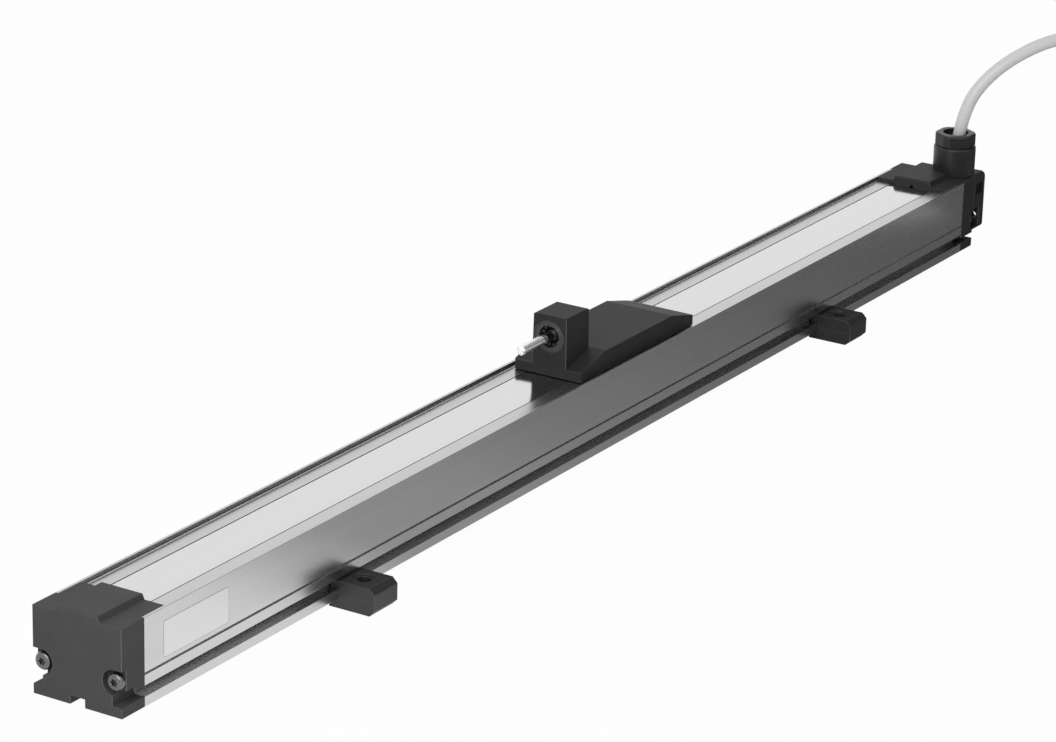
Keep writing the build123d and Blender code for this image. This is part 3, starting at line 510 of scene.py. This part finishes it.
@dataclass
class FlyingLead:
    """The sheathed cable from the gland, with its coil and bare cores. Sizes in millimetres."""

    # The gland's middle, the height that the arc is counted from, and the cable's own start
    gland: Span = (NEAR_X + 631.5, -7.7)
    base: float = 3.9
    start: float = 29.9
    radius: float = 2.9
    # The hanging arc: ahead of the gland, left of the cable's heading, and over the base
    arc: tuple[Point, ...] = (
        (0, 0, 60.0), (18, 0, 84.0), (52, 0, 98.6), (84, 0, 89.0),
        (108, -1, 62.0), (122, -5, 37.0), (128.5, -17, 13.0),
    )
    # The coil: its middle, its turns' radii, the upper turn's height over the low ones,
    # the little more where the arc lands on it, and a point of the way down between them
    coil_middle: Span = (101.0, -42.0)
    upper_turn: float = 28.1
    inner_turn: float = 25.2
    middle_turn: float = 31.0
    outer_turn: float = 36.8
    stack: float = 5.05
    landing: float = 0.2
    half_way: Span = (26.0, 6.2)
    step_deg: float = 15.0
    tail: float = 34.0
    # The cores: place past the sheath's end with the radius there, spacing, and the tinned end
    core_outline: tuple[Span, ...] = (
        (-4.0, 0.8), (0.0, 0.8), (12.0, 0.8), (20.4, 0.8),
        (20.6, 0.72), (20.6, 0.45), (25.6, 0.45), (26.0, 0.3),
    )
    core_spacing: float = 1.75
    core_sides: int = 20
    core_tones: tuple[str, ...] = ("#6B3A1E", "#1E1F24", "#2E5FA3")
    tinned_from: float = 20.62

    def point(self, ahead: float, left: float, height: float) -> Point:
        """Turns a place along the cable's heading into a point of the part's frame, in metres.

        Args:
            ahead: Distance from the gland along the cable's heading.
            left: Distance to the left of it.
            height: Height above the mounting plane.

        Returns:
            The point.
        """
        diagonal = math.sqrt(0.5)
        x = self.gland[0] + diagonal * (ahead + left)
        y = self.gland[1] + diagonal * (left - ahead)
        return (x * MM, y * MM, height * MM)

    def on_coil(self, degrees: float, radius: float, height: float) -> Point:
        """Gives a point of a turn of the coil.

        Args:
            degrees: Its angle from the cable's heading.
            radius: Its distance from the coil's middle.
            height: Its height above the mounting plane.

        Returns:
            The point in metres.
        """
        angle = math.radians(degrees)
        ahead = self.coil_middle[0] + radius * math.cos(angle)
        return self.point(ahead, self.coil_middle[1] + radius * math.sin(angle), height)

    def route(self) -> list[Point]:
        """Gives the control points of the cable's line, from the gland to the bare end.

        Returns:
            The points in metres.
        """
        line = [self.point(0, 0, self.start)]
        line += [self.point(ahead, left, self.base + height) for ahead, left, height in self.arc]
        low, high = self.radius, self.radius + self.stack
        turns = [
            (0, self.upper_turn, high + self.landing), (-370, self.upper_turn, high),
            (-400, *self.half_way), (-430, self.inner_turn, low), (-640, self.inner_turn, low),
            (-700, self.middle_turn, low), (-1000, self.middle_turn, low),
            (-1060, self.outer_turn, low), (-1260, self.outer_turn, low),
        ]
        for before, after in zip(turns, turns[1:]):
            steps = max(2, round((before[0] - after[0]) / self.step_deg))
            for part in (step / steps for step in range(steps)):
                line.append(self.on_coil(*(a + (b - a) * part for a, b in zip(before, after))))
        line.append(self.on_coil(*turns[-1]))
        end = self.coil_middle[0] - self.outer_turn
        line.append(self.point(end, self.coil_middle[1] + self.tail / 2, low))
        line.append(self.point(end, self.coil_middle[1] + self.tail, low))
        return line

    def build(self) -> bpy.types.Object:
        """Returns:
            The cable.
        """
        data = bpy.data.curves.new("flying_lead", "CURVE")
        data.dimensions = "3D"
        # One metre, times each point's radius, which keeps the curve's own box tight
        data.bevel_depth = 1.0
        data.bevel_resolution = 6
        data.resolution_u = 10
        data.use_fill_caps = True
        spline = data.splines.new("NURBS")
        points = self.route()
        spline.points.add(len(points) - 1)
        for control, place in zip(spline.points, points):
            control.co = (*place, 1.0)
            control.radius = self.radius * MM
        spline.order_u = 3
        spline.use_endpoint_u = True
        lead = bpy.data.objects.new("flying_lead", data)
        bpy.context.scene.collection.objects.link(lead)
        dress(lead, PVC)
        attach(lead, "housing")
        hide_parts("cable", "cable_coil", "cable_tail")
        cores = self.build_cores()
        length = self.measure(lead)
        log.info("flying lead: %.3f m", length)
        return lead

    def build_cores(self) -> list[bpy.types.Object]:
        """Makes the three insulated cores that stand out of the sheath, each with a tinned end.

        Returns:
            The cores.
        """
        made = []
        mouth = (self.coil_middle[0] - self.outer_turn, self.coil_middle[1] + self.tail)
        angles = [math.tau * k / self.core_sides for k in range(self.core_sides)]
        for number, tone in enumerate(self.core_tones, 1):
            finish = Finish(
                f"pvc_core_{number}", tone, "#8A8A8A", 0.4, ior=1.53, grain_mm=0.6,
                cloud=0.1, edge=0.0,
            )
            middle = mouth[0] + (number - 2) * self.core_spacing
            rings = [
                [
                    self.point(
                        middle + radius * math.cos(a), mouth[1] + along,
                        self.radius + radius * math.sin(a),
                    )
                    for a in angles
                ]
                for along, radius in self.core_outline
            ]
            core = mesh_piece(f"cable_core_{number}", *loft(rings), finish)
            core.data.materials.append(NICKEL.paint())
            for face in core.data.polygons:
                past = face.center - Vector(self.point(*mouth, self.radius))
                if (past.x + past.y) * math.sqrt(0.5) > self.tinned_from * MM:
                    face.material_index = 1
            made.append(core)
        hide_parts("cable_cores")
        return made

    @staticmethod
    def measure(lead: bpy.types.Object) -> float:
        """Measures the curve's own line.

        Args:
            lead: The cable's curve object.

        Returns:
            Its length in metres.
        """
        depth, caps = lead.data.bevel_depth, lead.data.use_fill_caps
        lead.data.bevel_depth, lead.data.use_fill_caps = 0.0, False
        bpy.context.view_layer.update()
        shown = lead.evaluated_get(bpy.context.evaluated_depsgraph_get())
        line = bpy.data.meshes.new_from_object(shown)
        places = [[line.vertices[i].co for i in edge.vertices] for edge in line.edges]
        total = sum((a - b).length for a, b in places)
        bpy.data.meshes.remove(line)
        lead.data.bevel_depth, lead.data.use_fill_caps = depth, caps
        return total


@dataclass
class Housing:
    """The extrusion with its cover strip, caps and label plate. Sizes in millimetres."""

    strip_half: float = 9.9
    strip_z: float = 35.1
    strip_thick: float = 0.2
    strip_crown: float = 0.03
    strip_edge_drop: float = 0.06
    strip_steps: int = 8
    strip_cuts: Span = (-100.0, 100.0)
    # The dark lines beside the strip: painted shade of the gaps
    gap_shade_width: float = 0.42
    gap_shade_lift: float = 0.015
    gap_shade_slope: float = 0.1
    label_x: Span = (NEAR_X + 10.7, NEAR_X + 48.5)
    label_z: Span = (18.2, 31.9)
    label_thick: float = 0.06
    label_bend: float = 1.0
    label_bend_steps: int = 5
    line_width: float = 0.16
    line_lift: float = 0.012
    wall_y: float = -19.0

    def build(self) -> None:
        """Builds the strip, the painted gap shades beside it and the label plate and dresses the
        CAD nodes.
        """
        self.cover_strip()
        self.gap_shades()
        self.label_plate()
        self.label_line()
        dress_nodes(ANODISED, "profile_housing")
        dress_nodes(NYLON, "near_end_cap")
        dress_nodes(COVER_NYLON, "connection_cap")
        dress_nodes(RUBBER, "near_gasket", "far_gasket", "near_bumper", "far_bumper")
        dress_nodes(OXIDE, "near_cap_screws", "far_cap_screws")
        dress_nodes(MACHINED, "near_band_clamp", "far_band_clamp")
        dress_nodes(BOARD, "resistance_board")
        dress_nodes(TRACK, "resistance_track", "collector_track")
        dress_nodes(CONTACT, "terminal_pins")
        dress_nodes(LEAD, "inner_leads")

    def cover_strip(self) -> None:
        """Builds the cover strip from cap to cap, slightly crowned, with rolled edges."""
        low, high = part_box("cover_band")
        half, top = self.strip_half * MM, (self.strip_z + self.strip_thick) * MM
        across = []
        for k in range(self.strip_steps + 1):
            y = -half + 2 * half * k / self.strip_steps
            across.append((y, top + self.strip_crown * MM * (1 - (y / half) ** 2)))
        across[0] = (-half, across[0][1] - self.strip_edge_drop * MM)
        across[-1] = (half, across[-1][1] - self.strip_edge_drop * MM)
        under = [(half, self.strip_z * MM), (-half, self.strip_z * MM)]
        cuts = (low[0], *(x * MM for x in self.strip_cuts), high[0])
        rings = [[(x, y, z) for y, z in across + under] for x in cuts]
        strip = mesh_piece("cover_strip", *loft(rings), STRIP)
        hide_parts("cover_band")

    def gap_shades(self) -> None:
        """Builds thin dark lines on both sides of the strip, as painted shade of the gaps there."""
        low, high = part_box("cover_band")
        top = (self.strip_z + self.strip_thick) * MM
        half, width, lift = self.strip_half * MM, self.gap_shade_width * MM, self.gap_shade_lift * MM
        for side, name in ((-1, "strip_gap_shade_front"), (1, "strip_gap_shade_back")):
            across = [
                (side * half, top), (side * (half + width), top),
                (side * (half + width * (1 - self.gap_shade_slope)), top + lift),
                (side * (half + width * self.gap_shade_slope), top + lift),
            ]
            rings = [[(x, y, z) for y, z in across] for x in (low[0], 0.0, high[0])]
            mesh_piece(name, *loft(rings), GAP_SHADE)

    def corner_ring(self, inset: float, y: float) -> list[Point]:
        """Gives a rounded rectangle on the front wall.

        Args:
            inset: Distance inside the label's edge.
            y: Distance of the ring in front of the wall.

        Returns:
            Its points in metres.
        """
        x0, x1 = self.label_x[0] + inset, self.label_x[1] - inset
        z0, z1 = self.label_z[0] + inset, self.label_z[1] - inset
        bend = self.label_bend
        corners = (
            (x1 - bend, z1 - bend, 0), (x0 + bend, z1 - bend, 90),
            (x0 + bend, z0 + bend, 180), (x1 - bend, z0 + bend, 270),
        )
        ring = []
        for cx, cz, start in corners:
            for k in range(self.label_bend_steps + 1):
                a = math.radians(start + 90 * k / self.label_bend_steps)
                x, z = cx + bend * math.cos(a), cz + bend * math.sin(a)
                ring.append((x * MM, (self.wall_y - y) * MM, z * MM))
        return ring

    def label_plate(self) -> None:
        """Builds the bare label plate on the front wall."""
        rings = [self.corner_ring(0.0, 0.0), self.corner_ring(0.0, self.label_thick)]
        mesh_piece("label_plate", *loft(rings), LABEL)

    def label_line(self) -> None:
        """Builds the printed line round the label as a thin raised frame."""
        front = self.label_thick + self.line_lift
        outer, inner = self.corner_ring(0.0, front), self.corner_ring(self.line_width, front)
        count = len(outer)
        faces = [(i, (i + 1) % count, count + (i + 1) % count, count + i) for i in range(count)]
        line = mesh_piece("label_line", outer + inner, faces, LABEL_INK)


@dataclass
class Carriage:
    """The carriage with its ball coupling. Sizes in millimetres."""

    # The ball, the share of its radius where its round ends, and how far past it is dark
    ball: Point = (NEAR_X + 294.15, 0.0, 51.9)
    ball_r: float = 4.2
    ball_share: float = 0.92
    ball_dark: float = 0.6
    # The neck: its radius, how far from the ball's middle it goes, and the widening after it
    neck_r: float = 1.55
    neck_length: float = 4.4
    neck_slope: float = 1.2
    # The stud and its thread: pitch and depth, how steep the flanks and how wide the flats are,
    # the thread's run-out and the tip's bevel
    stud_r: float = 2.0
    stud_end: float = NEAR_X + 267.55
    thread_from: float = NEAR_X + 283.6
    pitch: float = 0.8
    depth: float = 0.1
    flank: float = 2.6
    flat: float = 0.15
    run_out: float = 0.8
    tip_length: float = 0.9
    tip_slope: float = 0.75
    # How finely the turned piece is cut: round it, along the ball, the neck and the thread
    sides: int = 40
    smooth_deg: float = 30.0
    ball_angles: tuple[int, int, int] = (4, 158, 8)
    neck_from: float = 0.95
    neck_step: float = 0.4
    cuts_per_turn: int = 8

    def build(self) -> None:
        """Builds the threaded stud and dresses the CAD nodes."""
        self.stud()
        dress_nodes(COVER_NYLON, "carriage_cover")
        dress_nodes(MACHINED, "saddle")
        dress_nodes(OXIDE, "saddle_screws")
        dress_nodes(ACETAL, "glide_shoes", "band_skids", "wiper_block", "ball_cup")
        dress_nodes(FELT, "band_felts")
        dress_nodes(CONTACT, "wiper_fingers")
        dress_nodes(SOCKET_ACETAL, "ball_socket")
        dress_nodes(NYLON, "socket_plug")

    def radius_at(self, x: float, angle: float) -> float:
        """Gives the stud's radius at a place along it.

        Args:
            x: The place along the part, in millimetres.
            angle: The angle round the stud, in radians.

        Returns:
            The radius in millimetres.
        """
        ahead = self.ball[0] - x
        if ahead < self.ball_r * self.ball_share:
            return math.sqrt(max(0.0, self.ball_r**2 - ahead**2))
        if x > self.thread_from:
            widened = min(1.0, max(0.0, (ahead - self.neck_length) / self.neck_slope))
            return self.neck_r + (self.stud_r - self.neck_r) * widened
        turn = ((self.thread_from - x) / self.pitch + angle / math.tau) % 1.0
        wave = min(1.0, max(0.0, abs(turn - 0.5) * self.flank - self.flat))
        fade = min(1.0, (self.thread_from - x) / self.run_out)
        tip = max(0.0, self.tip_length - (x - self.stud_end)) * self.tip_slope
        return self.stud_r - fade * self.depth * (1 - wave) - tip

    def stations(self) -> list[float]:
        """Gives the places along the part where the stud is cut, from the ball to the tip.

        Returns:
            The places in millimetres.
        """
        angles = (math.radians(a) for a in range(*self.ball_angles))
        places = [self.ball[0] + self.ball_r * math.cos(a) for a in angles]
        x = self.ball[0] - self.ball_r * self.neck_from
        while x > self.thread_from:
            places.append(x)
            x -= self.neck_step
        x = self.thread_from
        while x > self.stud_end:
            places.append(x)
            x -= self.pitch / self.cuts_per_turn
        places.append(self.stud_end)
        return places

    def stud(self) -> None:
        """Builds the ball and its threaded stud as one turned piece."""
        rings = []
        for place in self.stations():
            ring = []
            for k in range(self.sides):
                a = math.tau * k / self.sides
                r = self.radius_at(place, a)
                y, z = r * math.cos(a), self.ball[2] + r * math.sin(a)
                ring.append((place * MM, y * MM, z * MM))
            rings.append(ring)
        points, faces = loft(rings)
        stud = mesh_piece(
            "ball_stud_threaded", points, faces, NICKEL, "coupling_stud", self.smooth_deg
        )
        stud.data.materials.append(BALL.paint())
        for face in stud.data.polygons:
            if face.center.x > (self.ball[0] - self.ball_r - self.ball_dark) * MM:
                face.material_index = 1
        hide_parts("ball_stud")


@dataclass
class Clamps:
    """The four clamps that hold the housing's feet, each moulded in an upper and a lower half."""

    ends: tuple[str, ...] = ("near", "far")
    sides: tuple[str, ...] = ("front", "back")
    halves: tuple[str, ...] = ("upper", "lower")

    def build(self) -> None:
        """Dresses both halves of every clamp."""
        for end in self.ends:
            for side in self.sides:
                dress_nodes(CLAMP_NYLON, *(f"{end}_{side}_clamp_{half}" for half in self.halves))


@dataclass
class Gland:
    """The cable gland on the connection cap."""

    moulded: tuple[str, ...] = ("gland_body", "gland_nut")
    seal: str = "gland_seal"

    def build(self) -> None:
        """Dresses the gland's body, nut and seal."""
        dress_nodes(GLAND_PA, *self.moulded)
        dress_nodes(RUBBER, self.seal)


@dataclass
class Studio:
    """The floor, the toned cards that the part mirrors, the lamps and the world. In metres."""

    floor_half: float = 6.0
    floor_z: float = -0.0004
    floor_glow: float = 0.97
    # The card in front gives the wall its shades, nearly white near by and darker far off
    card_z: float = 0.0002
    front_x: Span = (-0.5, 0.9)
    front_y: Span = (-0.3, 0.0185)
    front_tones: tuple[Tone, ...] = (
        (-0.5, "#F6F6F6"), (-0.22, "#F0F0F0"), (-0.14, "#A4A4A4"), (-0.06, "#9C9C9C"),
        (0.0, "#898989"), (0.1, "#797979"), (0.2, "#6C6C6C"), (0.3, "#616161"), (0.45, "#575757"),
    )
    front_strength: float = 1.25
    # The card on the floor behind gives the back rim its dark band
    back_x: Span = (-0.6, 2.0)
    back_y: Span = (0.3, 1.6)
    back_tones: tuple[Tone, ...] = ((-0.6, "#5A5A5A"), (2.0, "#4A4A4A"))
    # The upright card past the far end darkens the slanted band along the foot
    side_x: float = 1.5
    side_y: Span = (-2.6, 0.15)
    side_top: float = 2.0
    side_tones: tuple[Tone, ...] = ((0.0, "#3C3C3C"), (2.0, "#3C3C3C"))
    key_place: Point = (-1.25, -0.3, 0.95)
    key_size: float = 1.1
    key_watts: float = 10.0
    top_place: Point = (0.3, 0.9, 2.1)
    top_size: float = 1.4
    top_watts: float = 4.0
    world_light: float = 0.36

    def build(self) -> None:
        """Builds the studio."""
        self.floor()
        front = self.level(self.front_x, self.front_y, self.card_z)
        self.flag("front_floor", front, self.front_tones, self.front_strength)
        self.flag("back_floor", self.level(self.back_x, self.back_y, self.card_z), self.back_tones)
        near, far = self.side_y
        side = [
            (self.side_x, near, 0.0), (self.side_x, far, 0.0),
            (self.side_x, far, self.side_top), (self.side_x, near, self.side_top),
        ]
        self.flag("side", side, self.side_tones)
        self.lamp("key_softbox", self.key_place, self.key_size, self.key_watts)
        self.lamp("top_softbox", self.top_place, self.top_size, self.top_watts)
        self.world()

    @staticmethod
    def level(x: Span, y: Span, z: float) -> list[Point]:
        """Gives the four corners of a level rectangle."""
        return [(x[0], y[0], z), (x[1], y[0], z), (x[1], y[1], z), (x[0], y[1], z)]

    @staticmethod
    def seen(tree: bpy.types.NodeTree) -> bpy.types.NodeSocket:
        """Tells what the camera sees, straight or in metal and glass, from what only lights.

        Args:
            tree: The node tree that gets the nodes.

        Returns:
            An output that is 1 where it is seen and 0 otherwise.
        """
        rays = add_node(tree, "ShaderNodeLightPath").outputs
        both = add_node(
            tree, "ShaderNodeMath",
            {0: rays["Is Camera Ray"], 1: rays["Is Glossy Ray"]}, operation="MAXIMUM",
        ).outputs[0]
        return add_node(
            tree, "ShaderNodeMath", {0: both, 1: rays["Is Transmission Ray"]}, operation="MAXIMUM"
        ).outputs[0]

    @staticmethod
    def sheet(name: str, corners: list[Point], material: bpy.types.Material) -> bpy.types.Object:
        """Makes a flat stage object.

        Args:
            name: The object's name.
            corners: Its four corners in metres.
            material: Its material.

        Returns:
            The object.
        """
        data = bpy.data.meshes.new(name)
        data.from_pydata(corners, [], [tuple(range(len(corners)))])
        sheet = bpy.data.objects.new(name, data)
        bpy.context.scene.collection.objects.link(sheet)
        data.materials.append(material)
        return sheet

    def floor(self) -> None:
        """Builds the pale floor, white where its shadow doesn't fall."""
        material, tree = new_material("studio_floor_paper")
        diffuse = add_node(tree, "ShaderNodeBsdfDiffuse", {"Color": linear("#F4F4F4")}).outputs[0]
        glow = add_node(
            tree, "ShaderNodeEmission", {"Color": linear("#FFFFFF"), "Strength": 1.0}
        ).outputs[0]
        amount = add_node(
            tree, "ShaderNodeMath", {0: self.seen(tree), 1: self.floor_glow}, operation="MULTIPLY"
        ).outputs[0]
        mix = add_node(tree, "ShaderNodeMixShader", {0: amount, 1: diffuse, 2: glow})
        add_node(tree, "ShaderNodeOutputMaterial", {"Surface": mix.outputs[0]})
        reach = (-self.floor_half, self.floor_half)
        self.sheet("studio_floor", self.level(reach, reach, self.floor_z), material)

    def flag(
        self, name: str, corners: list[Point], tones: tuple[Tone, ...], strength: float = 1.0
    ) -> None:
        """Builds a toned card that shows only as a reflection.

        Args:
            name: The card's name.
            corners: Its corners in metres.
            tones: Places along the part in metres, each with the card's colour there.
            strength: How many times as bright as its tones the card shines.
        """
        material, tree = new_material(f"studio_{name}_card")
        place = add_node(tree, "ShaderNodeNewGeometry").outputs["Position"]
        x = add_node(tree, "ShaderNodeSeparateXYZ", {0: place}).outputs[0]
        start, end = tones[0][0], tones[-1][0]
        along = add_node(
            tree, "ShaderNodeMapRange", {"Value": x, "From Min": start, "From Max": end}
        ).outputs["Result"]
        ramp = add_node(tree, "ShaderNodeValToRGB", {0: along})
        stops = ramp.color_ramp.elements
        for place_x, tone in tones[1:-1]:
            stops.new((place_x - start) / (end - start)).color = linear(tone)
        stops[0].color, stops[-1].color = linear(tones[0][1]), linear(tones[-1][1])
        shine = add_node(
            tree, "ShaderNodeEmission", {"Color": ramp.outputs["Color"], "Strength": strength}
        ).outputs[0]
        add_node(tree, "ShaderNodeOutputMaterial", {"Surface": shine})
        card = self.sheet(f"studio_{name}_flag", corners, material)
        card.visible_camera = False
        card.visible_diffuse = False
        card.visible_shadow = False
        card.visible_transmission = False

    @staticmethod
    def lamp(name: str, place: Point, size: float, watts: float) -> None:
        """Builds a square softbox that points at the part.

        Args:
            name: The lamp's name.
            place: Where it stands.
            size: The length of its side.
            watts: Its power.
        """
        data = bpy.data.lights.new(name, "AREA")
        data.energy = watts
        data.size = size
        lamp = bpy.data.objects.new(name, data)
        lamp.location = place
        lamp.rotation_euler = (-Vector(place)).to_track_quat("-Z", "Y").to_euler()
        bpy.context.scene.collection.objects.link(lamp)

    def world(self) -> None:
        """Sets the soft surrounding light, white where it is seen."""
        world = bpy.data.worlds.new("studio_world")
        bpy.context.scene.world = world
        world.use_nodes = True
        tree = world.node_tree
        tree.nodes.clear()
        strength = add_node(
            tree, "ShaderNodeMapRange",
            {"Value": self.seen(tree), "To Min": self.world_light, "To Max": 1.0},
        ).outputs["Result"]
        back = add_node(
            tree, "ShaderNodeBackground", {"Color": linear("#FFFFFF"), "Strength": strength}
        ).outputs[0]
        add_node(tree, "ShaderNodeOutputWorld", {"Surface": back})
        bpy.context.scene.view_settings.view_transform = "Standard"


def main() -> None:
    """Builds every sub-assembly in order."""
    logging.basicConfig(level=logging.INFO, format="%(name)s: %(message)s")
    makers = (PhotoCamera(), FlyingLead(), Housing(), Carriage(), Clamps(), Gland(), Studio())
    for maker in makers:
        maker.build()
        log.info("%s is built", type(maker).__name__)


if __name__ == "__main__":
    main()
